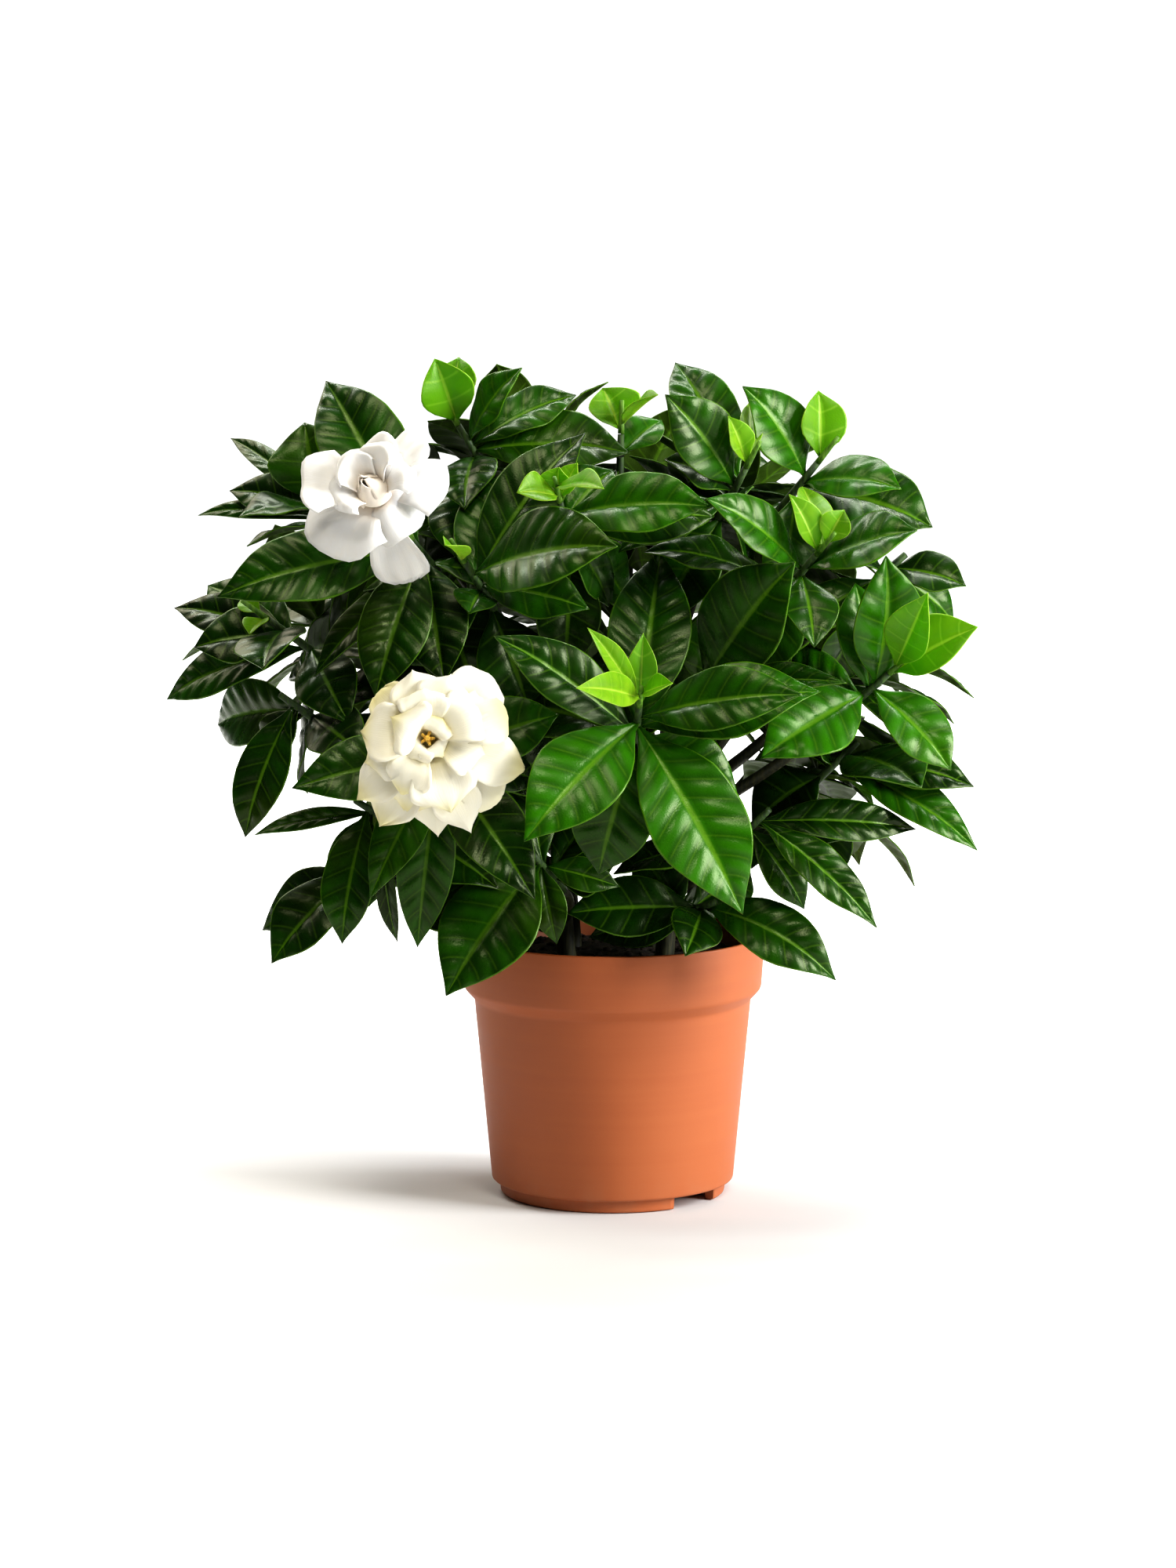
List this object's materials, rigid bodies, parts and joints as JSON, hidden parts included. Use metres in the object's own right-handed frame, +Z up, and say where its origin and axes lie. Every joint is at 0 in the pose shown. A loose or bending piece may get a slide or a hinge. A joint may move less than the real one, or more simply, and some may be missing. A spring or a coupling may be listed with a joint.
{
  "type": "potted gardenia",
  "caption": "Bushy potted gardenia with glossy ribbed leaves and white double blooms, standing in a tapered terracotta-coloured plastic nursery pot.",
  "frame": {"origin": "middle of the pot's foot plane, on the pot's axis", "axes": "+Z up along the pot's axis, -Y towards the side with the blooms, +X to the right as seen from there"},
  "size_m": [0.3159, 0.313, 0.3311],
  "materials": {
    "pot_plastic": "matte moulded plastic, terracotta-coloured",
    "potting_soil": "dark, moist peat and bark mix",
    "woody_stem": "thin greenish-brown bark",
    "mature_leaf": "glossy dark green above, matte lighter green below",
    "young_leaf": "soft gloss, yellow-green",
    "calyx": "satin light green",
    "petal": "soft matte white, cream with age",
    "stamen": "matte ochre yellow"
  },
  "bodies": {
    "root": {"bloom_1": "petal", "bloom_2": "petal", "calyx_1": "calyx", "calyx_2": "calyx", "cutting_back_left": "woody_stem", "cutting_back_right": "woody_stem", "cutting_front_left": "woody_stem", "cutting_front_right": "woody_stem", "pot": "pot_plastic", "potting_soil": "potting_soil", "shoot_back_1": "mature_leaf", "shoot_back_10": "mature_leaf", "shoot_back_11": "mature_leaf", "shoot_back_12": "mature_leaf", "shoot_back_13": "mature_leaf", "shoot_back_2": "mature_leaf", "shoot_back_3": "mature_leaf", "shoot_back_4": "mature_leaf", "shoot_back_5": "mature_leaf", "shoot_back_6": "mature_leaf", "shoot_back_7": "mature_leaf", "shoot_back_8": "mature_leaf", "shoot_back_9": "mature_leaf", "shoot_base_left": "mature_leaf", "shoot_base_right": "mature_leaf", "shoot_centre_back": "mature_leaf", "shoot_front_star": "mature_leaf", "shoot_left_mid": "mature_leaf", "shoot_left_top": "mature_leaf", "shoot_left_up": "mature_leaf", "shoot_low_bloom": "mature_leaf", "shoot_low_far_left": "mature_leaf", "shoot_low_left": "mature_leaf", "shoot_mid_left": "mature_leaf", "shoot_mid_top": "mature_leaf", "shoot_right": "mature_leaf", "shoot_right_crown": "mature_leaf", "shoot_right_foot": "mature_leaf", "shoot_right_low": "mature_leaf", "shoot_right_mid": "mature_leaf", "shoot_right_shoulder": "mature_leaf", "shoot_right_top": "mature_leaf", "shoot_top_left": "mature_leaf", "shoot_top_mid": "mature_leaf", "shoot_up_bloom": "mature_leaf", "stamens_2": "stamen", "young_front_star": "young_leaf", "young_left_up": "young_leaf", "young_mid_left": "young_leaf", "young_mid_top": "young_leaf", "young_right": "young_leaf", "young_right_crown": "young_leaf", "young_right_mid": "young_leaf", "young_right_top": "young_leaf", "young_top_left": "young_leaf", "young_top_mid": "young_leaf"}
  },
  "joints": []
}
